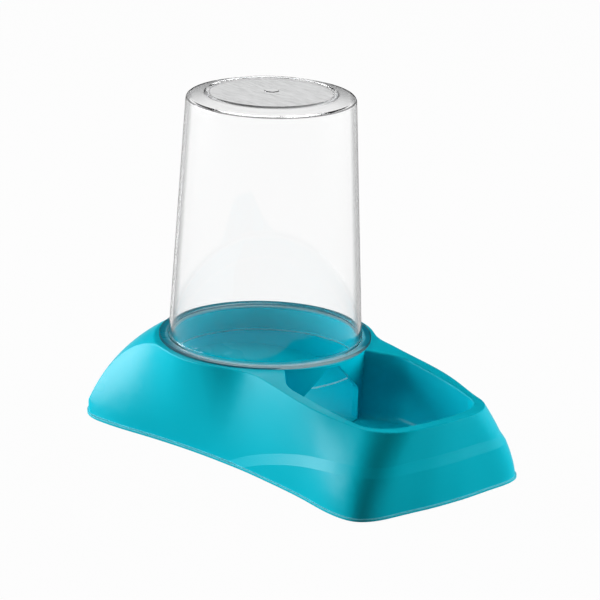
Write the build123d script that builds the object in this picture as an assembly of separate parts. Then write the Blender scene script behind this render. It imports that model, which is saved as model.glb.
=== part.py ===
from build123d import *
import math
import os

# Gravity pet feeder, millimetres. +X points from the reservoir to the bowl, +Z is up.
# Every piece is drawn round the reservoir's axis, with heights counted from the base's rim.
# place() then moves it into the part's frame, whose origin is under the middle of the footprint.

# Base outline: how far it reaches from the reservoir's axis, and how far the skirt's ridge stays back
tail_reach = 118.6
front_reach = 184.0
ridge_front_setback = 6.7
front_bow_radius = 330.0
rim_corner_radius = 17.0
ridge_corner_radius = 35.1
heel_corner_radius = 28.0

# Base outline: half-widths at the rim and at the ridge, with their distances ahead of the axis.
# The first one lies in the run-out, behind the tail, where the hood has already cut the skirt off
run_out_length = 23.4
run_out_half_width = 84.1
run_out_ridge_half_width = 31.7
haunch_x = -102.0
haunch_half_width = 88.5
haunch_ridge_half_width = 47.7
hip_x = -65.0
hip_half_width = 89.1
hip_ridge_half_width = 61.7
flank_x = -42.0
flank_half_width = 85.6
flank_ridge_half_width = 68.8
waist_x = 90.0
waist_half_width = 69.0
waist_ridge_half_width = 58.6
cheek_x = 128.0
cheek_half_width = 70.4
cheek_ridge_half_width = 54.9
front_half_width = 71.6
front_ridge_half_width = 47.7
collar_ridge_radius = 75.8
neck_x = 47.0
neck_half_width = 70.5
neck_ridge_half_width = 61.0
throat_x = 64.0
throat_half_width = 69.3
throat_ridge_half_width = 58.4
collar_rim_line = ((-20.0, 80.5), (0.0, 76.5), (16.0, 73.9), (31.0, 72.0))

# Where the outline is drawn: angles round a front corner, shares of the way out along the front's
# bow, and the number of sections up the skirt
corner_angles = (84.0, 62.0, 40.0, 18.0)
bow_shares = (0.7, 0.35)
skirt_sections = 5

# Base heights above the rim
seat_height = 60.2
land_bend_x = 62.0
land_slope = 6.0
land_front_height = 50.9
land_bend_round = 90.0
hood_axis_x = 5.0
hood_radius = 100.0
crown_radius = 76.4
crown_round = 5.0
skirt_bulge = 1.5

# Lip round the rim, and the lower skirt, proud of the upper one below a rising wave. The wave's
# rows are a distance behind the front and a height; it starts below the rim and runs out in front
lip_height = 1.6
lip_width = 0.8
wave_depth = 1.2
wave_band = 7.0
wave_bury = 0.4
wave_line = (
    (146.0, -4.0),
    (132.0, 4.0),
    (114.0, 12.0),
    (90.0, 20.0),
    (73.0, 24.4),
    (57.0, 27.4),
    (41.0, 29.5),
    (27.0, 30.9),
    (12.0, 31.8),
    (-8.0, 32.4),
)

# Base walls
base_wall = 2.4
ridge_round = 1.0
mouth_round = 1.2

# Well for the spigot, and chute from the well to the bowl
spigot_clearance = 1.6
well_draft = 1.5
well_floor_rear_height = 35.0
collar_wall = 2.6
chute_half_width = 26.0
chute_side_height = 37.0
chute_top_half_width = 5.0
chute_top_height = 57.5
chute_round = 6.0
chute_top_round = 3.0

# Bowl
land_width = 7.4
bowl_front_half_width = 43.8
bowl_half_width = 49.2
bowl_rear_half_width = 33.5
bowl_rear_x = 61.5
bowl_rear_run = 12.0
bowl_rear_gap = 0.2
bowl_shoulder_x = 82.0
bowl_shoulder_round = 24.0
bowl_bend_x = 128.0
bowl_bend_round = 200.0
bowl_corner_radius = 24.0
bowl_front_bow = 6.4
bowl_nose_radius = 150.0
bowl_floor_height = 15.0
bowl_draft = 6.0
bowl_floor_round = 4.0

# Reservoir
drum_foot_radius = 63.7
drum_top_radius = 55.2
drum_height = 160.3
drum_wall = 1.9
disc_radius = 42.3
disc_rise = 3.3
disc_step = 1.3
disc_round = 0.65
disc_inner_round = 1.3
shoulder_round = 3.0
shoulder_inner_round = 1.5
flange_radius = 70.0
flange_thickness = 2.1
flange_round = 0.6
flange_fillet = 1.6
spigot_depth = 19.0
spigot_round = 0.6
gate_radius = 4.6
gate_height = 0.6
gate_round = 0.3

# Rubber feet, and the shelves inside the skirt that hold them
foot_radius = 7.0
foot_stand = 1.0
foot_inset = 2.0
stem_radius = 2.5
stem_clearance = 0.1
stem_head_radius = 3.6
stem_head_height = 1.6
shelf_thickness = 2.4
shelf_radius = 17.0
front_foot_setback = 24.0
front_foot_side_inset = 17.6
rear_foot_setback = 46.6
rear_foot_side_inset = 15.1

# Derived sizes; far is longer than the whole base
origin_x = (front_reach - tail_reach) / 2
ridge_front_reach = front_reach - ridge_front_setback
run_out_x = -tail_reach - run_out_length
heel_half_width = max(haunch_half_width, hip_half_width)
skirt_depth = lip_width + wave_depth
drum_slope = (drum_foot_radius - drum_top_radius) / drum_height
flange_top = seat_height + flange_thickness
spigot_end_height = flange_top - spigot_depth
spigot_radius = drum_foot_radius + drum_slope * spigot_depth
well_radius = spigot_radius + spigot_clearance
bowl_rear_radius = flange_radius + bowl_rear_gap
land_share = (land_front_height / seat_height) ** skirt_bulge
land_front_reach = front_reach + (ridge_front_reach - front_reach) * land_share - skirt_depth
bowl_front_reach = land_front_reach - land_width
far = 2 * (front_reach + tail_reach)


def place(piece):
    return Pos(-origin_x, 0, foot_stand) * piece


def mix(low, high, share):
    return low + (high - low) * share


def on_collar(x):
    return math.sqrt(collar_ridge_radius ** 2 - x ** 2)


def side_stations():
    # rows of distance ahead of the axis, half-width at the rim, half-width at the ridge
    rows = [(run_out_x, run_out_half_width, run_out_ridge_half_width)]
    rows.append((haunch_x, haunch_half_width, haunch_ridge_half_width))
    rows.append((hip_x, hip_half_width, hip_ridge_half_width))
    rows.append((flank_x, flank_half_width, flank_ridge_half_width))
    for x, half_width in collar_rim_line:
        rows.append((x, half_width, on_collar(x)))
    rows.append((neck_x, neck_half_width, neck_ridge_half_width))
    rows.append((throat_x, throat_half_width, throat_ridge_half_width))
    rows.append((waist_x, waist_half_width, waist_ridge_half_width))
    rows.append((cheek_x, cheek_half_width, cheek_ridge_half_width))
    return rows


def front_stations(reach, half_width, corner_radius):
    # the corner's arc and then the shallow bow, from the side to the middle of the front
    centre_y = half_width - corner_radius
    centre_x = reach - centre_y ** 2 / (2 * front_bow_radius) - corner_radius
    points = []
    for degrees in corner_angles:
        angle = math.radians(degrees)
        x = centre_x + corner_radius * math.cos(angle)
        points.append((x, centre_y + corner_radius * math.sin(angle)))
    for share in bow_shares:
        y = share * centre_y
        points.append((reach - y ** 2 / (2 * front_bow_radius), y))
    return points


def outline(share):
    # half outline at a share of the way from the rim to the ridge, rear to front
    points = [(x, mix(rim, ridge, share)) for x, rim, ridge in side_stations()]
    rim_front = front_stations(front_reach, front_half_width, rim_corner_radius)
    ridge_front = front_stations(ridge_front_reach, front_ridge_half_width, ridge_corner_radius)
    for rim, ridge in zip(rim_front, ridge_front):
        points.append((mix(rim[0], ridge[0], share), mix(rim[1], ridge[1], share)))
    return points


def moved_in(points, depth):
    # each point moves square to the line through its two neighbours; the first point has itself for
    # a neighbour, and the last one its mirror image across the middle plane
    neighbours = [points[0]] + points + [(points[-1][0], -points[-1][1])]
    moved = []
    for (x, y), before, after in zip(points, neighbours, neighbours[2:]):
        dx, dy = after[0] - before[0], after[1] - before[1]
        length = math.hypot(dx, dy)
        moved.append((x + depth * dy / length, y - depth * dx / length))
    return moved


def skirt_section(height, depth):
    # closed outline of the left half, with the middle plane as its straight side
    share = (max(height, 0.0) / seat_height) ** skirt_bulge
    half = [Vector(x, y, height) for x, y in moved_in(outline(share), depth)]
    nose = Vector(mix(front_reach, ridge_front_reach, share) - depth, 0, height)
    heel = Vector(half[0].X, 0, height)
    side = Edge.make_spline(half + [nose], tangents=[half[1] - half[0], Vector(0, -1, 0)])
    return Wire([side, Edge.make_line(nose, heel), Edge.make_line(heel, half[0])])


def skirt_body(depth, bottom, top):
    last = skirt_sections - 1
    heights = [mix(bottom, top, index / last) for index in range(skirt_sections)]
    return Solid.make_loft([skirt_section(height, depth) for height in heights])


def under_wave():
    # everything below the wave, which looks the same all the way across the base; the band starts
    # above the wave line, inside the upper skirt, and comes out of it on the line
    lift = wave_band * wave_bury / wave_depth
    crest = [Vector(front_reach - back, z + lift) for back, z in wave_line]
    first, last = crest[0], crest[-1]
    below = Polyline(last, (last.X, -far), (first.X, -far), first)
    face = make_face(Curve() + [Spline(*crest), below])
    return extrude(Plane.XZ * face, amount=far, both=True)


def hood_arc_middle():
    # middle of the hood's arc, from its foot on the rim, its edge at the crown and its radius
    foot = Vector(tail_reach + hood_axis_x, 0)
    edge = Vector(crown_radius, seat_height)
    half_chord = (edge - foot) * 0.5
    rise = math.sqrt(hood_radius ** 2 - half_chord.length ** 2)
    inward = Vector(-half_chord.Y, half_chord.X).normalized()
    return foot + half_chord + inward * rise


def under_hood(depth, bottom):
    # the rear: everything under a domed hood with a flat crown, turned about an axis near the reservoir's
    middle = hood_arc_middle()
    radius = hood_radius - depth
    top = seat_height - depth
    heights = (bottom, (bottom + seat_height) / 2, top + crown_round)
    arc = [(middle.X + math.sqrt(radius ** 2 - (z - middle.Y) ** 2), z) for z in heights]
    rest = Polyline(arc[2], (0, arc[2][1]), (0, bottom), arc[0])
    dome = make_face(Curve() + [ThreePointArc(*arc), rest])
    profile = dome & Pos(0, bottom) * Rectangle(2 * far, 2 * (top - bottom))
    crown_corner = profile.vertices().sort_by(lambda v: v.X + v.Y)[-1]
    profile = fillet(crown_corner, crown_round)
    turned = revolve(Plane.XZ * profile, Axis.Z, 360)
    return Pos(hood_axis_x, 0, 0) * (turned & Pos(-far / 2, 0, 0) * Box(far, far, far))


def under_land(depth, bottom):
    # everything under the land ahead of the hood: flat, then falling past the bowl, then level
    top = seat_height - depth
    front = land_front_height - depth
    level_x = land_bend_x + (seat_height - land_front_height) / math.tan(math.radians(land_slope))
    points = [(hood_axis_x, bottom), (hood_axis_x, top), (land_bend_x, top), (level_x, front)]
    points += [(far, front), (far, bottom)]
    radii = [0, 0, land_bend_round, land_bend_round, 0, 0]
    profile = make_face(FilletPolyline(*points, radius=radii, close=True))
    return extrude(Plane.XZ * profile, amount=far, both=True)


def heel_limit(depth):
    # upright prism whose rear end is the foot of the hood, rounded where it meets the sides
    width = 2 * (heel_half_width - depth)
    face = Circle(tail_reach - depth) & Rectangle(far, width)
    face += Pos(far / 4, 0) * Rectangle(far / 2, width)
    rear_corners = face.vertices().filter_by(lambda v: v.X < 0)
    face = fillet(rear_corners, heel_corner_radius - depth)
    return extrude(face, amount=far, both=True)


def base_half(depth, bottom):
    body = skirt_body(depth, bottom, seat_height + skirt_depth)
    return body & (under_hood(depth - skirt_depth, bottom) + under_land(depth - skirt_depth, bottom))


def is_ridge(edge):
    # the skirt's upper edges: they leave the middle plane and lie well above the rim
    ends = [edge.position_at(0), edge.position_at(1)]
    middle = edge.position_at(0.5)
    spread = abs(ends[0].Y - ends[1].Y) + abs(ends[0].X - ends[1].X)
    outside_drum = all(math.hypot(p.X, p.Y) > drum_foot_radius / 2 for p in ends + [middle])
    high = middle.Z > seat_height / 4 and middle.Y > ridge_round / 2
    return edge.geom_type == GeomType.BSPLINE and high and outside_drum and spread > ridge_round / 100


def upper_half():
    half = base_half(skirt_depth, 0.0)
    return fillet([edge for edge in half.edges() if is_ridge(edge)], ridge_round)


def lower_half():
    # the proud part of the skirt, its upper edge cut back by a band that runs on inside the upper skirt
    half = skirt_body(lip_width, 0.0, seat_height) & under_wave()
    top = half.faces().filter_by(GeomType.EXTRUSION)[0]
    middles = [(edge, edge.position_at(0.5)) for edge in top.edges()]
    crest = [edge for edge, middle in middles if middle.Y > lip_width and middle.Z > lip_height]
    run = (wave_depth + wave_bury) / wave_depth
    return chamfer(crest, run * wave_depth, run * wave_band, reference=top)


def whole(half):
    return half + mirror(half, Plane.XZ)


def floor_line(depth):
    # everything above the well's sloping floor and the level floor of the bowl, less a depth
    rear = (-well_radius, well_floor_rear_height - depth)
    foot = (bowl_rear_radius, bowl_floor_height - depth)
    high = [(far, far), (-far, far)]
    profile = make_face(Polyline((-far, rear[1]), rear, foot, (far, foot[1]), *high, close=True))
    return extrude(Plane.XZ * profile, amount=far, both=True)


def bowl_face(grow):
    # plan of the bowl's mouth; its rear end runs on under the collar
    slope = (bowl_half_width - bowl_rear_half_width) / (bowl_shoulder_x - bowl_rear_x)
    root = (bowl_rear_x - bowl_rear_run, bowl_rear_half_width - bowl_rear_run * slope)
    nose_turn = math.atan(bowl_front_bow / bowl_front_half_width)
    nose_x = bowl_front_reach + bowl_nose_radius * (1 / math.cos(nose_turn) - 1)
    half = [root, (bowl_shoulder_x, bowl_half_width), (bowl_bend_x, bowl_half_width)]
    half.append((nose_x - bowl_front_bow, bowl_front_half_width))
    points = half + [(nose_x, 0)] + [(x, -y) for x, y in reversed(half)]
    half_radii = [0, bowl_shoulder_round, bowl_bend_round, bowl_corner_radius]
    radii = half_radii + [bowl_nose_radius] + half_radii[::-1]
    face = make_face(FilletPolyline(*points, radius=radii, close=True))
    return offset(face, grow, kind=Kind.INTERSECTION)


def bowl_body(grow, floor_height):
    # the plan is true at the land's mean height, so the mouth is wider where the cutter starts
    top = seat_height + crown_round
    mean_height = (seat_height + land_front_height) / 2
    grow = grow + (top - mean_height) * math.tan(math.radians(bowl_draft))
    cup = Pos(0, 0, top) * extrude(bowl_face(grow), amount=floor_height - top, taper=bowl_draft)
    floor_edges = cup.faces().sort_by(Axis.Z)[0].edges()
    return fillet(floor_edges, bowl_floor_round + grow)


def well_body(grow, depth):
    # the well tapers to its floor; depth lowers the floor, grow widens the wall
    top = seat_height + crown_round
    drop = top - bowl_floor_height + depth
    narrow = drop * math.tan(math.radians(well_draft))
    cup = Pos(0, 0, top - drop / 2) * Cone(well_radius + grow - narrow, well_radius + grow, drop)
    return cup & floor_line(depth)


def chute_body():
    # opening in the collar's wall: upright sides, then sloping sides that nearly meet at the top
    side = [(chute_half_width, 0), (chute_half_width, chute_side_height)]
    side.append((chute_top_half_width, chute_top_height))
    points = side + [(-y, z) for y, z in reversed(side)]
    radii = [0, chute_round, chute_top_round, chute_top_round, chute_round, 0]
    face = make_face(FilletPolyline(*points, radius=radii, close=True))
    tunnel = extrude(Plane.YZ * face, amount=bowl_rear_radius + collar_wall)
    return tunnel & floor_line(0.0)


def is_mouth(edge):
    # the edge of the land round the bowl, without the part that lies against the reservoir's flange
    points = [edge.position_at(share) for share in (0.1, 0.5, 0.9)]
    beside_bowl = all(abs(p.Y) < bowl_half_width + mouth_round for p in points)
    clear_of_flange = all(math.hypot(p.X, p.Y) > bowl_rear_radius + mouth_round / 2 for p in points)
    in_front = all(bowl_rear_x < p.X < bowl_front_reach + land_width / 2 for p in points)
    high = all(p.Z > land_front_height - mouth_round for p in points)
    return beside_bowl and clear_of_flange and in_front and high


def foot_places():
    # each foot is set back from the end and the side of the base that it carries
    front_x = front_reach - front_foot_setback
    front_y = front_half_width - front_foot_side_inset
    rear_x = rear_foot_setback - tail_reach
    rear_y = hip_half_width - rear_foot_side_inset
    return {
        "front_left": (front_x, front_y),
        "front_right": (front_x, -front_y),
        "rear_left": (rear_x, rear_y),
        "rear_right": (rear_x, -rear_y),
    }


def feeder_base():
    bowl_room = bowl_body(0.0, bowl_floor_height) - Cylinder(bowl_rear_radius, far)
    land = (whole(upper_half()) & heel_limit(lip_width)) - bowl_room
    land = fillet([edge for edge in land.edges() if is_mouth(edge)], mouth_round)
    lip = whole(skirt_body(0.0, 0.0, lip_height)) & heel_limit(0.0)
    outer = land + (whole(lower_half()) - bowl_room) + (lip - bowl_room)
    cavity = whole(base_half(skirt_depth + base_wall, -base_wall)) & heel_limit(lip_width + base_wall)
    bowl_shell = bowl_body(base_wall, bowl_floor_height - base_wall)
    well_shell = well_body(collar_wall, base_wall)
    places = foot_places().values()
    shelf = extrude(Circle(shelf_radius), amount=shelf_thickness)
    shelves = [Pos(x, y, foot_inset) * shelf for x, y in places]
    hole = Cylinder(stem_radius + stem_clearance, 2 * (foot_inset + shelf_thickness + stem_head_height))
    holes = [Pos(x, y, 0) * hole for x, y in places]
    inner = cavity - bowl_shell - well_shell - shelves
    return outer - inner - well_body(0.0, 0.0) - chute_body() - holes


def drum_radius(height):
    return drum_foot_radius + drum_slope * (flange_top - height)


def reservoir():
    # a tapered drum, open at the spigot and closed by a raised disc, turned about its axis
    top = flange_top + drum_height
    disc_top = top + disc_rise
    inner_top = top - drum_wall
    corners = [
        (spigot_radius, spigot_end_height, spigot_round),
        (drum_radius(seat_height), seat_height, 0),
        (flange_radius, seat_height, 0),
        (flange_radius, flange_top, flange_round),
        (drum_foot_radius, flange_top, flange_fillet),
        (drum_top_radius, top, shoulder_round),
        (disc_radius, disc_top - disc_step, 0),
        (disc_radius, disc_top, disc_round),
        (gate_radius, disc_top, 0),
        (gate_radius, disc_top + gate_height, gate_round),
        (0, disc_top + gate_height, 0),
        (0, disc_top - drum_wall, 0),
        (disc_radius - drum_wall, disc_top - drum_wall, disc_inner_round),
        (drum_radius(inner_top) - drum_wall, inner_top, shoulder_inner_round),
        (spigot_radius - drum_wall, spigot_end_height, spigot_round),
    ]
    points = [(radius, height) for radius, height, corner_round in corners]
    radii = [corner_round for radius, height, corner_round in corners]
    profile = make_face(FilletPolyline(*points, radius=radii, close=True))
    return revolve(Plane.XZ * profile, Axis.Z, 360)


def rubber_foot(x, y):
    pad = extrude(Circle(foot_radius), amount=foot_stand + foot_inset)
    head_base = foot_stand + foot_inset + shelf_thickness + stem_clearance
    stem = extrude(Circle(stem_radius), amount=head_base)
    head = Cone(stem_head_radius, stem_radius, stem_head_height)
    head = Pos(0, 0, head_base + stem_head_height / 2) * head
    return Pos(x, y, -foot_stand) * (pad + stem + head)


def export(node, piece):
    export_step(place(piece), "parts/" + node + ".step")


os.makedirs("parts", exist_ok=True)
export("feeder_base", feeder_base())
export("reservoir", reservoir())
for corner, (x, y) in foot_places().items():
    export("rubber_foot_" + corner, rubber_foot(x, y))
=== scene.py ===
import math

import bmesh
import bpy
import numpy as np
from mathutils import Matrix, Vector


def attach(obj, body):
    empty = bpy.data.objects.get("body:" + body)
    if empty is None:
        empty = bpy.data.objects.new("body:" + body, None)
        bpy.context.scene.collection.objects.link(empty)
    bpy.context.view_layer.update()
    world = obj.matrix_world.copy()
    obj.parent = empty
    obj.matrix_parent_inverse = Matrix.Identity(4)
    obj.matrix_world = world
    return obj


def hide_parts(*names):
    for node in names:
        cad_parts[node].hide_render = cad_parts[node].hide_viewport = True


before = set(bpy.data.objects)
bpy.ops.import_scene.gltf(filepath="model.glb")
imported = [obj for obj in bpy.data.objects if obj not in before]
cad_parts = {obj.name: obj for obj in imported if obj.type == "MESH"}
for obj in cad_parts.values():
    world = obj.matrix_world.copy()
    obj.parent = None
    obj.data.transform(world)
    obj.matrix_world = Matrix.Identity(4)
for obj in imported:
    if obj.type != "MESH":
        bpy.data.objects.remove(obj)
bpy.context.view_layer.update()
scene = bpy.context.scene
print("frame loaded:", sorted(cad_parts))


def addMesh(name, points, faces):
    mesh = bpy.data.meshes.new(name)
    mesh.from_pydata(points.tolist(), [], faces.tolist())
    mesh.polygons.foreach_set("use_smooth", np.ones(len(mesh.polygons), bool))
    mesh.update()
    piece = bpy.data.objects.new(name, mesh)
    scene.collection.objects.link(piece)
    return piece


def dress(piece, mat):
    piece.data.materials.clear()
    piece.data.materials.append(mat)


def feed(tree, socket, item):
    # a number goes on the socket itself, and another socket is linked to it
    if isinstance(item, (int, float)):
        socket.default_value = item
    else:
        tree.links.new(item, socket)


def scaled(tree, value, factor, add=0.0):
    # value * factor + add, each a number or a socket
    node = tree.nodes.new("ShaderNodeMath")
    node.operation = "MULTIPLY_ADD"
    for slot, item in enumerate((value, factor, add)):
        feed(tree, node.inputs[slot], item)
    return node.outputs["Value"]


def tinted(tree, colour, mask, tint, blend="MULTIPLY"):
    # colour times tint where the mask is 1, or the tint itself with the blend MIX
    mix = tree.nodes.new("ShaderNodeMix")
    mix.data_type = "RGBA"
    mix.blend_type = blend
    tree.links.new(mask, mix.inputs["Factor"])
    tree.links.new(colour, mix.inputs["A"])
    mix.inputs["B"].default_value = (*tint, 1.0)
    return mix.outputs["Result"]


def objectHeight(tree):
    coords = tree.nodes.new("ShaderNodeTexCoord")
    split = tree.nodes.new("ShaderNodeSeparateXYZ")
    tree.links.new(coords.outputs["Object"], split.inputs["Vector"])
    return split.outputs["Z"]


def heightBand(tree, height, band):
    # 1 between two heights and 0 outside, with a short fade at both
    rise = tree.nodes.new("ShaderNodeMapRange")
    rise.inputs["From Min"].default_value = band["from"] - band["fade"]
    rise.inputs["From Max"].default_value = band["from"] + band["fade"]
    fall = tree.nodes.new("ShaderNodeMapRange")
    fall.inputs["From Min"].default_value = band["to"] + band["fade"]
    fall.inputs["From Max"].default_value = band["to"] - band["fade"]
    both = tree.nodes.new("ShaderNodeMath")
    both.operation = "MULTIPLY"
    for node, slot in ((rise, 0), (fall, 1)):
        tree.links.new(height, node.inputs["Value"])
        tree.links.new(node.outputs["Result"], both.inputs[slot])
    return both.outputs["Value"]


def beyondRadius(tree, centre, radii):
    # 0 up to the first radius from the reservoir's axis, 1 from the second on
    coords = tree.nodes.new("ShaderNodeTexCoord")
    centred = tree.nodes.new("ShaderNodeMapping")
    centred.inputs["Location"].default_value = centre
    centred.inputs["Scale"].default_value = (1.0, 1.0, 0.0)
    reach = tree.nodes.new("ShaderNodeVectorMath")
    reach.operation = "LENGTH"
    span = tree.nodes.new("ShaderNodeMapRange")
    span.inputs["From Min"].default_value, span.inputs["From Max"].default_value = radii
    tree.links.new(coords.outputs["Object"], centred.inputs["Vector"])
    tree.links.new(centred.outputs["Vector"], reach.inputs[0])
    tree.links.new(reach.outputs["Value"], span.inputs["Value"])
    return span.outputs["Result"]


# moulded plastic seen close: slow clouds in the colour, and a fine grain for the bump
def makeMouldGrain():
    group = bpy.data.node_groups.new("mouldGrain", "ShaderNodeTree")
    group.interface.new_socket("Vector", in_out="INPUT", socket_type="NodeSocketVector")
    for label in ("Cloud Scale", "Grain Scale", "Stretch"):
        group.interface.new_socket(label, in_out="INPUT", socket_type="NodeSocketFloat")
    for label in ("Clouds", "Grain"):
        group.interface.new_socket(label, in_out="OUTPUT", socket_type="NodeSocketFloat")
    nodes, links = group.nodes, group.links
    into = nodes.new("NodeGroupInput")
    out = nodes.new("NodeGroupOutput")
    squeeze = nodes.new("ShaderNodeCombineXYZ")
    squeeze.inputs["X"].default_value = 1.0
    squeeze.inputs["Y"].default_value = 1.0
    links.new(into.outputs["Stretch"], squeeze.inputs["Z"])
    stretched = nodes.new("ShaderNodeVectorMath")
    stretched.operation = "MULTIPLY"
    links.new(into.outputs["Vector"], stretched.inputs[0])
    links.new(squeeze.outputs["Vector"], stretched.inputs[1])
    for label, scaleName, detail in (("Clouds", "Cloud Scale", 3.0), ("Grain", "Grain Scale", 2.0)):
        noise = nodes.new("ShaderNodeTexNoise")
        noise.inputs["Detail"].default_value = detail
        links.new(stretched.outputs["Vector"], noise.inputs["Vector"])
        links.new(into.outputs[scaleName], noise.inputs["Scale"])
        links.new(noise.outputs["Fac"], out.inputs[label])
    return group


mouldGrain = makeMouldGrain()
cloudSpan = (0.3, 0.7)  # most of the noise lies between these


def addGrain(mat, shader, grain):
    # places the group, and spreads its clouds over colour and roughness and its grain over the bump
    nodes, links = mat.node_tree.nodes, mat.node_tree.links
    coords = nodes.new("ShaderNodeTexCoord")
    group = nodes.new("ShaderNodeGroup")
    group.node_tree = mouldGrain
    group.inputs["Cloud Scale"].default_value = grain["cloudScale"]
    group.inputs["Grain Scale"].default_value = grain["grainScale"]
    group.inputs["Stretch"].default_value = grain["stretch"]
    links.new(coords.outputs["Object"], group.inputs["Vector"])
    tint = nodes.new("ShaderNodeMix")
    tint.data_type = "RGBA"
    tint.inputs["A"].default_value = (*grain["deepColour"], 1.0)
    tint.inputs["B"].default_value = (*grain["paleColour"], 1.0)
    links.new(group.outputs["Clouds"], tint.inputs["Factor"])
    links.new(tint.outputs["Result"], shader.inputs["Base Color"])
    rough = nodes.new("ShaderNodeMapRange")
    rough.inputs["From Min"].default_value, rough.inputs["From Max"].default_value = cloudSpan
    rough.inputs["To Min"].default_value, rough.inputs["To Max"].default_value = grain["roughness"]
    links.new(group.outputs["Clouds"], rough.inputs["Value"])
    links.new(rough.outputs["Result"], shader.inputs["Roughness"])
    bump = nodes.new("ShaderNodeBump")
    bump.inputs["Strength"].default_value = grain["bump"]
    bump.inputs["Distance"].default_value = grain["bumpDepth"]
    links.new(group.outputs["Grain"], bump.inputs["Height"])
    links.new(bump.outputs["Normal"], shader.inputs["Normal"])
    return tint.outputs["Result"], rough.outputs["Result"]


def newMaterial(name, look):
    mat = bpy.data.materials.new(name)
    mat.use_nodes = True
    nodes = mat.node_tree.nodes
    nodes.clear()
    out = nodes.new("ShaderNodeOutputMaterial")
    shader = nodes.new("ShaderNodeBsdfPrincipled")
    mat.node_tree.links.new(shader.outputs["BSDF"], out.inputs["Surface"])
    for socket, value in look.items():
        shader.inputs[socket].default_value = value
    return mat, shader, out


# the base's turquoise
baseFinish = {
    "look": {"IOR": 1.5, "Specular IOR Level": 0.09},
    "grain": {
        "cloudScale": 11.0,
        "grainScale": 1400.0,
        "stretch": 1.0,
        "deepColour": (0.0, 0.45, 0.57),
        "paleColour": (0.0, 0.5, 0.63),
        "roughness": (0.26, 0.32),
        "bump": 0.05,
        "bumpDepth": 0.0002,
    },
    # painted highlight: a thin lighter band painted on the upper edge of the lip round the foot of the
    # skirt, where its rounded edge would catch the light
    "paintedLipHighlight": {"from": 0.0021, "to": 0.0029, "fade": 0.0001, "colour": (0.2, 0.68, 0.76), "share": 0.6},
}


def makeTurquoise(s):
    mat, shader, _ = newMaterial("turquoisePlastic", s["look"])
    colour, _ = addGrain(mat, shader, s["grain"])
    tree = mat.node_tree
    # the painted highlight on the lip's upper edge, mixed in by height
    line = s["paintedLipHighlight"]
    mask = scaled(tree, heightBand(tree, objectHeight(tree), line), line["share"])
    tree.links.new(tinted(tree, colour, mask, line["colour"], "MIX"), shader.inputs["Base Color"])
    return mat


# the feet's black rubber
rubberFinish = {
    "look": {"IOR": 1.52, "Specular IOR Level": 0.35},
    "grain": {
        "cloudScale": 90.0,
        "grainScale": 1600.0,
        "stretch": 1.0,
        "deepColour": (0.018, 0.019, 0.02),
        "paleColour": (0.035, 0.036, 0.038),
        "roughness": (0.7, 0.86),
        "bump": 0.35,
        "bumpDepth": 0.0003,
    },
}


def makeRubber(s):
    mat, shader, _ = newMaterial("footRubber", s["look"])
    addGrain(mat, shader, s["grain"])
    return mat


# the reservoir's clear plastic
clearFinish = {
    # thin walls hardly bend what is seen through them, so the gloss is a coat over a low IOR
    "look": {
        "IOR": 1.17,
        "Transmission Weight": 1.0,
        "Coat Weight": 0.45,
        "Coat IOR": 1.42,
        "Coat Roughness": 0.02,
    },
    "grain": {
        "cloudScale": 26.0,
        "grainScale": 60.0,
        "stretch": 0.12,
        "deepColour": (0.99, 0.992, 0.992),
        "paleColour": (1.0, 1.0, 1.0),
        "roughness": (0.0, 0.02),
        "bump": 0.012,
        "bumpDepth": 0.001,
    },
    # painted shade: a wall seen edge on is painted grey between two facing shares, up to the disc's step
    "edge": {
        "blend": 0.5,
        "facing": (0.68, 0.78),
        "grey": (0.44, 0.445, 0.45),
        "heights": {"from": 0.0, "to": 0.2263, "fade": 0.0002},
    },
    # moves the axis of all its circles to the middle
    "axis": (0.0327, 0.0, 0.0),
    # painted shade in bands: greys that darken the clear plastic where its edges and roundings look dark
    # and where the flange and disc look grey, with more haze and coat; heights, and for some the radii
    # between which it begins
    "paintedShadeBands": (
        # the spigot's mouth, only hazed and coated: its grey is white
        {"from": 0.0441, "to": 0.045, "fade": 0.0001,
         "grey": (1.0, 1.0, 1.0), "haze": 0.6, "coat": 0.9},
        # the flange, painted grey-teal as shade, and its outer edge, painted dark as shade
        {"from": 0.0605, "to": 0.0634, "fade": 0.0003,
         "grey": (0.72, 0.78, 0.79), "haze": 0.4, "coat": 0.15},
        {"from": 0.06, "to": 0.064, "fade": 0.0003, "beyond": (0.0692, 0.0696),
         "grey": (0.16, 0.26, 0.29), "haze": 0.0, "coat": 0.15},
        # the round where the wall turns into the top, painted near black as shade
        {"from": 0.2222, "to": 0.2231, "fade": 0.0001, "beyond": (0.051, 0.0515),
         "grey": (0.1, 0.1, 0.102), "haze": 0.1, "coat": 0.45},
        # the disc's step, the disc, and its rim, painted grey as shade
        {"from": 0.2254, "to": 0.2262, "fade": 0.0001,
         "grey": (0.6, 0.6, 0.605), "haze": 0.9, "coat": 0.3},
        {"from": 0.2262, "to": 0.2271, "fade": 0.0001,
         "grey": (0.9, 0.905, 0.91), "haze": 0.05, "coat": 0.3},
        {"from": 0.2262, "to": 0.2268, "fade": 0.0001, "beyond": (0.0416, 0.0419),
         "grey": (0.7, 0.7, 0.705), "haze": 0.9, "coat": 0.3},
    ),
    # flow marks across the disc
    "streaks": {
        "scale": 90.0,
        "detail": 4.0,
        "squeeze": (1.0, 9.0, 1.0),
        "turn": 0.5,
        "span": (0.4, 0.75),
        "grey": (0.6, 0.6, 0.6),
        "heights": {"from": 0.2262, "to": 0.2271, "fade": 0.0001},
    },
    "shadowTint": (0.82, 0.835, 0.84),
}


def edgeMask(tree, s):
    # 1 where the surface is seen nearly edge on
    facing = tree.nodes.new("ShaderNodeLayerWeight")
    facing.inputs["Blend"].default_value = s["blend"]
    span = tree.nodes.new("ShaderNodeMapRange")
    span.inputs["From Min"].default_value, span.inputs["From Max"].default_value = s["facing"]
    tree.links.new(facing.outputs["Facing"], span.inputs["Value"])
    return span.outputs["Result"]


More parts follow.
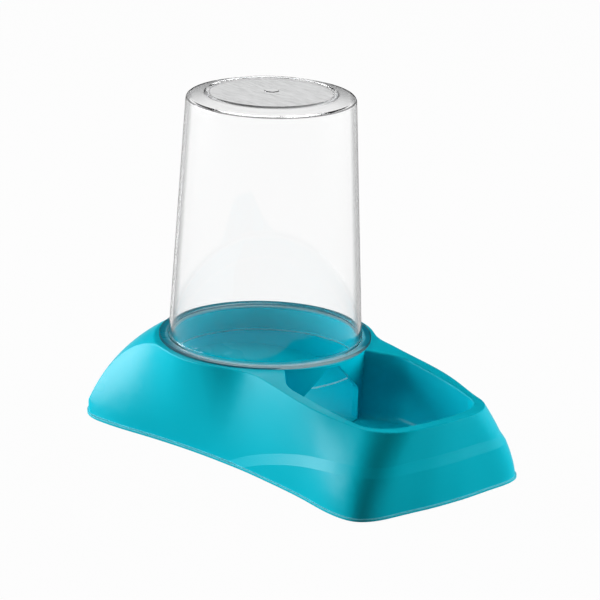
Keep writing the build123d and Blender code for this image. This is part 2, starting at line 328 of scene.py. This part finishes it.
def flowStreaks(tree, s):
    # long thin marks: noise squeezed across one direction
    coords = tree.nodes.new("ShaderNodeTexCoord")
    squeeze = tree.nodes.new("ShaderNodeMapping")
    squeeze.inputs["Rotation"].default_value = (0, 0, s["turn"])
    squeeze.inputs["Scale"].default_value = s["squeeze"]
    noise = tree.nodes.new("ShaderNodeTexNoise")
    noise.inputs["Scale"].default_value = s["scale"]
    noise.inputs["Detail"].default_value = s["detail"]
    span = tree.nodes.new("ShaderNodeMapRange")
    span.inputs["From Min"].default_value, span.inputs["From Max"].default_value = s["span"]
    tree.links.new(coords.outputs["Object"], squeeze.inputs["Vector"])
    tree.links.new(squeeze.outputs["Vector"], noise.inputs["Vector"])
    tree.links.new(noise.outputs["Fac"], span.inputs["Value"])
    return span.outputs["Result"]


def makeClearPlastic(s):
    mat, shader, out = newMaterial("clearPlastic", s["look"])
    colour, rough = addGrain(mat, shader, s["grain"])
    coat = s["look"]["Coat Weight"]
    tree = mat.node_tree
    nodes, links = tree.nodes, tree.links
    height = objectHeight(tree)
    # the edge grey is painted shade; the streaks are flow marks of the moulding
    for part, maskOf in ((s["edge"], edgeMask), (s["streaks"], flowStreaks)):
        mask = scaled(tree, maskOf(tree, part), heightBand(tree, height, part["heights"]))
        colour = tinted(tree, colour, mask, part["grey"])
    # painted shade: each band multiplies the plastic's colour by its grey, and adds haze and coat
    for band in s["paintedShadeBands"]:
        mask = heightBand(tree, height, band)
        if "beyond" in band:
            mask = scaled(tree, mask, beyondRadius(tree, s["axis"], band["beyond"]))
        colour = tinted(tree, colour, mask, band["grey"])
        rough = scaled(tree, mask, band["haze"], rough)
        coating = nodes.new("ShaderNodeMix")
        coating.inputs["B"].default_value = band["coat"]
        links.new(mask, coating.inputs["Factor"])
        feed(tree, coating.inputs["A"], coat)
        coat = coating.outputs["Result"]
    links.new(colour, shader.inputs["Base Color"])
    links.new(rough, shader.inputs["Roughness"])
    links.new(coat, shader.inputs["Coat Weight"])
    # the lamps shine through the clear walls, as they do through thin plastic
    letThrough = nodes.new("ShaderNodeBsdfTransparent")
    letThrough.inputs["Color"].default_value = (*s["shadowTint"], 1.0)
    ray = nodes.new("ShaderNodeLightPath")
    either = nodes.new("ShaderNodeMixShader")
    links.new(ray.outputs["Is Shadow Ray"], either.inputs["Fac"])
    links.new(shader.outputs["BSDF"], either.inputs[1])
    links.new(letThrough.outputs["BSDF"], either.inputs[2])
    links.new(either.outputs["Shader"], out.inputs["Surface"])
    return mat


clearPlastic = makeClearPlastic(clearFinish)
turquoisePlastic = makeTurquoise(baseFinish)
footRubber = makeRubber(rubberFinish)
print("materials ready")


# the clear reservoir: one closed wall, open at the spigot, covered above by a raised disc
reservoirSize = {
    "axisX": -0.0327,
    "seatHeight": 0.0612,
    "flangeThickness": 0.0021,
    "flangeRadius": 0.070,
    "footRadius": 0.0637,
    "topRadius": 0.0552,
    "height": 0.1603,
    "wall": 0.0019,
    "spigotDepth": 0.019,
    "discRadius": 0.0423,
    "discRise": 0.0033,
    "discStep": 0.0013,
    "gateRadius": 0.0046,
    "gateHeight": 0.0006,
    "poleRadius": 0.00002,  # a ring on the axis joins the outer face to the inner one
    "rounds": {
        "mouth": 0.0006,
        "underFlange": 0.0002,
        "flangeFoot": 0.0003,
        "flangeTop": 0.0006,
        "foot": 0.0016,
        "top": 0.003,
        "step": 0.0004,
        "disc": 0.0006,
        "gateFoot": 0.0002,
        "gate": 0.0003,
        "inside": 0.0015,
    },
    "steps": 288,
    "arcSteps": 7,
    "hold": 0.0001,
}


def roundedLoop(corners, arcSteps):
    # corners are rows of (radius, height, rounding): each corner becomes an arc of its rounding,
    # tangent to both sides, so arc middle = corner + bisector * rounding / sin(half the angle)
    loop = []
    count = len(corners)
    for k in range(count):
        here = np.array(corners[k][:2])
        before = np.array(corners[k - 1][:2]) - here
        after = np.array(corners[(k + 1) % count][:2]) - here
        rounding = corners[k][2]
        if rounding <= 0:
            loop.append(here[None, :])
            continue
        before /= np.linalg.norm(before)
        after /= np.linalg.norm(after)
        half = 0.5 * math.acos(np.clip(before @ after, -1, 1))
        bisector = (before + after) / np.linalg.norm(before + after)
        middle = here + bisector * rounding / math.sin(half)
        start = here + before * rounding / math.tan(half) - middle
        end = here + after * rounding / math.tan(half) - middle
        a0 = math.atan2(start[1], start[0])
        turn = (math.atan2(end[1], end[0]) - a0 + math.pi) % (2 * math.pi) - math.pi
        angle = a0 + turn * np.linspace(0, 1, arcSteps)
        loop.append(middle + rounding * np.stack([np.cos(angle), np.sin(angle)], axis=1))
    return np.concatenate(loop)


def heldLoop(loop, hold):
    # each long straight run gets a row near both its ends, at start + hold * direction and
    # end - hold * direction, so that it shades flat between its roundings
    ahead = np.roll(loop, -1, axis=0) - loop
    length = np.linalg.norm(ahead, axis=1)
    step = ahead * (hold / length)[:, None]
    rows = np.stack([loop, loop + step, loop + ahead - step], axis=1)
    long = length > 4 * hold
    return rows[np.stack([length > 0, long, long], axis=1)]


def turnLoop(loop, centre, steps):
    # a closed loop of (radius, height) turned about an upright axis:
    # point(i, j) = centre + (r_i cos a_j, r_i sin a_j, z_i), with a_j evenly round the circle
    angle = np.linspace(0, 2 * np.pi, steps, endpoint=False)
    radius, height = loop[:, :1], loop[:, 1:]
    x = centre[0] + radius * np.cos(angle)
    y = centre[1] + radius * np.sin(angle)
    points = np.stack([x, y, centre[2] + height + 0 * x], axis=-1).reshape(-1, 3)
    i, j = np.meshgrid(np.arange(len(loop)) * steps, np.arange(steps), indexing="ij")
    nextI, nextJ = (i + steps) % (len(loop) * steps), (j + 1) % steps
    faces = np.stack([i + j, i + nextJ, nextI + nextJ, nextI + j], axis=-1)
    return points, faces.reshape(-1, 4)


def makeReservoir(s):
    # wall radius falls evenly with height: r(z) = foot + (foot - top) / height * (flange top - z)
    flangeTop = s["seatHeight"] + s["flangeThickness"]
    taper = (s["footRadius"] - s["topRadius"]) / s["height"]
    top = flangeTop + s["height"]
    discTop = top + s["discRise"]
    mouth = flangeTop - s["spigotDepth"]
    wall = s["wall"]
    spigot = s["footRadius"] + taper * s["spigotDepth"]
    innerTop = top - wall
    innerTopRadius = s["footRadius"] + taper * (flangeTop - innerTop) - wall
    rounds = s["rounds"]
    corners = [
        (spigot, mouth, rounds["mouth"]),
        (s["footRadius"] + taper * s["flangeThickness"], s["seatHeight"], rounds["underFlange"]),
        (s["flangeRadius"], s["seatHeight"], rounds["flangeFoot"]),
        (s["flangeRadius"], flangeTop, rounds["flangeTop"]),
        (s["footRadius"], flangeTop, rounds["foot"]),
        (s["topRadius"], top, rounds["top"]),
        (s["discRadius"], discTop - s["discStep"], rounds["step"]),
        (s["discRadius"], discTop, rounds["disc"]),
        (s["gateRadius"], discTop, rounds["gateFoot"]),
        (s["gateRadius"], discTop + s["gateHeight"], rounds["gate"]),
        (s["poleRadius"], discTop + s["gateHeight"], 0),
        (s["poleRadius"], discTop - wall, 0),
        (s["discRadius"] - wall, discTop - wall, rounds["disc"]),
        (s["discRadius"] - wall, discTop - s["discStep"] - wall, rounds["step"]),
        (innerTopRadius, innerTop, rounds["inside"]),
        (spigot - wall, mouth, rounds["mouth"]),
    ]
    loop = heldLoop(roundedLoop(corners, s["arcSteps"]), s["hold"])
    return addMesh("clearReservoir", *turnLoop(loop, (s["axisX"], 0, 0), s["steps"]))


reservoir = makeReservoir(reservoirSize)
dress(reservoir, clearPlastic)
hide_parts("reservoir")
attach(reservoir, "reservoir")
print("reservoir made:", len(reservoir.data.polygons), "faces")


# the base as the solids have it: a merged copy, so that its faces shade as one moulding
baseShading = {
    "weld": 0.000002,
    "crease": 32.0,
    "weight": 50,
    "front": 0.1513,
    # the wave on the skirt: distance behind the front, height of its upper edge
    "wave": ((-0.008, 0.0334), (0.012, 0.0328), (0.027, 0.0319), (0.041, 0.0305), (0.057, 0.0284),
             (0.073, 0.0254), (0.09, 0.021), (0.114, 0.013), (0.132, 0.005), (0.146, -0.003)),
    "waveBand": 0.0093,
    "waveLift": 0.0023,
    "waveReach": 0.0009,
    "waveCrease": 4.0,
}


def nearWave(s, points):
    # true where points lie on the wave's upper edge, or on its lower one, which is a band's width
    # below: lower = upper + lift - band * sqrt(1 + slope^2)
    back, top = np.array(s["wave"]).T
    slope = np.gradient(top, back)
    low = top + s["waveLift"] - s["waveBand"] * np.sqrt(1 + slope ** 2)
    behind = s["front"] - points[:, 0]
    onTop = np.abs(points[:, 2] - np.interp(behind, back, top)) < s["waveReach"]
    onLow = np.abs(points[:, 2] - np.interp(behind, back, low)) < s["waveReach"]
    return onTop, onLow


def readOut(items, name, width, kind):
    values = np.empty(len(items) * width, kind)
    items.foreach_get(name, values)
    return values.reshape(-1, width)


def faceAngles(mesh):
    # the angle between the two faces at an edge, acos(n1 . n2), and pi where it hasn't two
    normal = readOut(mesh.polygons, "normal", 3, np.float32)
    total = readOut(mesh.polygons, "loop_total", 1, np.int32)[:, 0]
    edge = readOut(mesh.loops, "edge_index", 1, np.int32)[:, 0]
    face = np.repeat(np.arange(len(total)), total)[np.argsort(edge, kind="stable")]
    uses = np.bincount(edge, minlength=len(mesh.edges))
    two = uses == 2
    first = (np.cumsum(uses) - uses)[two]
    cosine = np.sum(normal[face[first]] * normal[face[first + 1]], axis=1)
    angle = np.full(len(uses), np.pi)
    angle[two] = np.arccos(np.clip(cosine, -1, 1))
    return angle


def makeBase(s):
    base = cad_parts["feeder_base"].copy()
    base.data = base.data.copy()
    base.name = "feederShell"
    scene.collection.objects.link(base)
    base.parent = None
    mesh = base.data
    shape = bmesh.new()
    shape.from_mesh(mesh)
    bmesh.ops.remove_doubles(shape, verts=shape.verts, dist=s["weld"])
    shape.to_mesh(mesh)
    shape.free()
    onTop, onLow = nearWave(s, readOut(mesh.vertices, "co", 3, np.float32))
    a, b = readOut(mesh.edges, "vertices", 2, np.int32).T
    onWave = (onTop[a] & onTop[b]) | (onLow[a] & onLow[b])
    crease = np.radians(np.where(onWave, s["waveCrease"], s["crease"]))
    mesh.edges.foreach_set("use_edge_sharp", faceAngles(mesh) >= crease)
    mesh.polygons.foreach_set("use_smooth", np.ones(len(mesh.polygons), bool))
    even = base.modifiers.new("evenShading", "WEIGHTED_NORMAL")
    even.keep_sharp = True
    even.weight = s["weight"]
    return base


base = makeBase(baseShading)
dress(base, turquoisePlastic)
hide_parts("feeder_base")
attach(base, "base")
for corner in ("front_left", "front_right", "rear_left", "rear_right"):
    dress(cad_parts["rubber_foot_" + corner], footRubber)
print("base and feet dressed:", len(base.data.polygons), "faces")


def addSeenRay(tree, glossyShare):
    # 1 for a ray of the camera or through the clear plastic, a share for one of a reflection, else 0
    ray = tree.nodes.new("ShaderNodeLightPath")
    seen = scaled(tree, ray.outputs["Is Glossy Ray"], glossyShare)
    for kind in ("Is Camera Ray", "Is Transmission Ray"):
        larger = tree.nodes.new("ShaderNodeMath")
        larger.operation = "MAXIMUM"
        tree.links.new(seen, larger.inputs[0])
        tree.links.new(ray.outputs[kind], larger.inputs[1])
        seen = larger.outputs["Value"]
    return seen


# white floor and backdrop that keep a faint shadow
stageLook = {"size": 6.0, "albedo": 0.3, "whiteShare": 0.975, "glossyShare": 0.12}


def makeFloor(s):
    half = s["size"] / 2
    corners = np.array([(-half, -half, 0), (half, -half, 0), (half, half, 0), (-half, half, 0)])
    floor = addMesh("floor", corners, np.array([[0, 1, 2, 3]]))
    mat = bpy.data.materials.new("floorWhite")
    mat.use_nodes = True
    nodes, links = mat.node_tree.nodes, mat.node_tree.links
    nodes.clear()
    out = nodes.new("ShaderNodeOutputMaterial")
    paint = nodes.new("ShaderNodeBsdfDiffuse")
    paint.inputs["Color"].default_value = (s["albedo"], s["albedo"], s["albedo"], 1.0)
    white = nodes.new("ShaderNodeEmission")
    mix = nodes.new("ShaderNodeMixShader")
    seen = addSeenRay(mat.node_tree, s["glossyShare"])
    links.new(scaled(mat.node_tree, seen, s["whiteShare"]), mix.inputs["Fac"])
    links.new(paint.outputs["BSDF"], mix.inputs[1])
    links.new(white.outputs["Emission"], mix.inputs[2])
    links.new(mix.outputs["Shader"], out.inputs["Surface"])
    dress(floor, mat)


makeFloor(stageLook)

# the room: dim for the light it gives, white where it is seen, and in reflections bright only
# towards its two sides
roomLook = {
    "glow": 0.1,
    "sides": ((-0.94, -0.33, 0.1), (0.35, 0.93, 0.1)),
    "nearness": (0.74, 0.98),
    "brightness": (0.03, 0.75),
}


def makeRoom(s):
    world = bpy.data.worlds.new("studioWorld")
    scene.world = world
    world.use_nodes = True
    nodes, links = world.node_tree.nodes, world.node_tree.links
    nodes.clear()
    out = nodes.new("ShaderNodeOutputWorld")
    air = nodes.new("ShaderNodeBackground")
    air.inputs["Color"].default_value = (1.0, 1.0, 1.0, 1.0)
    air.inputs["Strength"].default_value = s["glow"]
    white = nodes.new("ShaderNodeBackground")
    coords = nodes.new("ShaderNodeTexCoord")
    nearer = nodes.new("ShaderNodeMath")
    nearer.operation = "MAXIMUM"
    for slot, side in enumerate(s["sides"]):
        toward = nodes.new("ShaderNodeVectorMath")
        toward.operation = "DOT_PRODUCT"
        toward.inputs[1].default_value = side
        links.new(coords.outputs["Generated"], toward.inputs[0])
        links.new(toward.outputs["Value"], nearer.inputs[slot])
    bright = nodes.new("ShaderNodeMapRange")
    bright.interpolation_type = "SMOOTHSTEP"
    bright.inputs["From Min"].default_value, bright.inputs["From Max"].default_value = s["nearness"]
    bright.inputs["To Min"].default_value, bright.inputs["To Max"].default_value = s["brightness"]
    links.new(nearer.outputs["Value"], bright.inputs["Value"])
    # reflections only: a ray through hazy plastic counts as glossy too, and it sees white
    ray = nodes.new("ShaderNodeLightPath")
    mirrored = nodes.new("ShaderNodeMath")
    mirrored.operation = "SUBTRACT"
    mirrored.use_clamp = True
    links.new(ray.outputs["Is Glossy Ray"], mirrored.inputs[0])
    links.new(ray.outputs["Is Transmission Ray"], mirrored.inputs[1])
    shade = nodes.new("ShaderNodeMix")
    shade.inputs["A"].default_value = 1.0
    links.new(mirrored.outputs["Value"], shade.inputs["Factor"])
    links.new(bright.outputs["Result"], shade.inputs["B"])
    links.new(shade.outputs["Result"], white.inputs["Color"])
    mix = nodes.new("ShaderNodeMixShader")
    links.new(addSeenRay(world.node_tree, 1.0), mix.inputs["Fac"])
    links.new(air.outputs["Background"], mix.inputs[1])
    links.new(white.outputs["Background"], mix.inputs[2])
    links.new(mix.outputs["Shader"], out.inputs["Surface"])


makeRoom(roomLook)

# soft boxes: one at each side of the view and one overhead; of the right one only a dim twin is
# mirrored, because the bowl's rim would turn white from the side
lamps = {
    "leftSoftbox": {"place": (-1.15, -1.0, 0.45), "size": (1.3, 0.7), "watts": 38.0, "mirrored": True},
    "rightSoftbox": {"place": (0.7, 1.28, 0.42), "size": (1.2, 0.7), "watts": 28.5, "mirrored": False},
    "rightSheen": {"place": (0.7, 1.28, 0.42), "size": (1.2, 0.7), "watts": 4.5, "mirrored": True},
    "topSoftbox": {"place": (-0.3, 0.1, 1.8), "size": (1.0, 1.0), "watts": 2.0, "mirrored": True},
}
lampTarget = Vector((0, 0, 0.08))
for name, s in lamps.items():
    light = bpy.data.lights.new(name, "AREA")
    light.shape = "RECTANGLE"
    light.size, light.size_y = s["size"]
    light.energy = s["watts"]
    lamp = bpy.data.objects.new(name, light)
    scene.collection.objects.link(lamp)
    lamp.location = s["place"]
    lamp.rotation_euler = (lampTarget - lamp.location).to_track_quat("-Z", "Y").to_euler()
    lamp.visible_transmission = False  # its light passes the clear walls as shadow rays already
    lamp.visible_glossy = s["mirrored"]
print("stage and lamps ready")

# the photograph's view, worked out from the reservoir's circles
view = {
    "place": (1.42709, -1.20940, 0.68569),
    "yaw": 49.685,
    "pitch": 17.545,
    "roll": 1.7107,
    "lens": 181.386,
    "sensor": 36.0,
    "reach": 20.0,
}


def addCamera(s):
    yaw, pitch, roll = (math.radians(s[k]) for k in ("yaw", "pitch", "roll"))
    back = Vector((math.sin(yaw) * math.cos(pitch), -math.cos(yaw) * math.cos(pitch), math.sin(pitch)))
    level = Vector((math.cos(yaw), math.sin(yaw), 0))
    upright = back.cross(level)
    right = level * math.cos(roll) + upright * math.sin(roll)
    up = upright * math.cos(roll) - level * math.sin(roll)
    data = bpy.data.cameras.new("photoCamera")
    data.lens = s["lens"]
    data.sensor_width = s["sensor"]
    data.clip_end = s["reach"]
    camera = bpy.data.objects.new("photoCamera", data)
    scene.collection.objects.link(camera)
    turn = Matrix((right, up, back)).transposed().to_4x4()
    camera.matrix_world = Matrix.Translation(s["place"]) @ turn
    return camera


scene.camera = addCamera(view)
scene.view_settings.view_transform = "Standard"
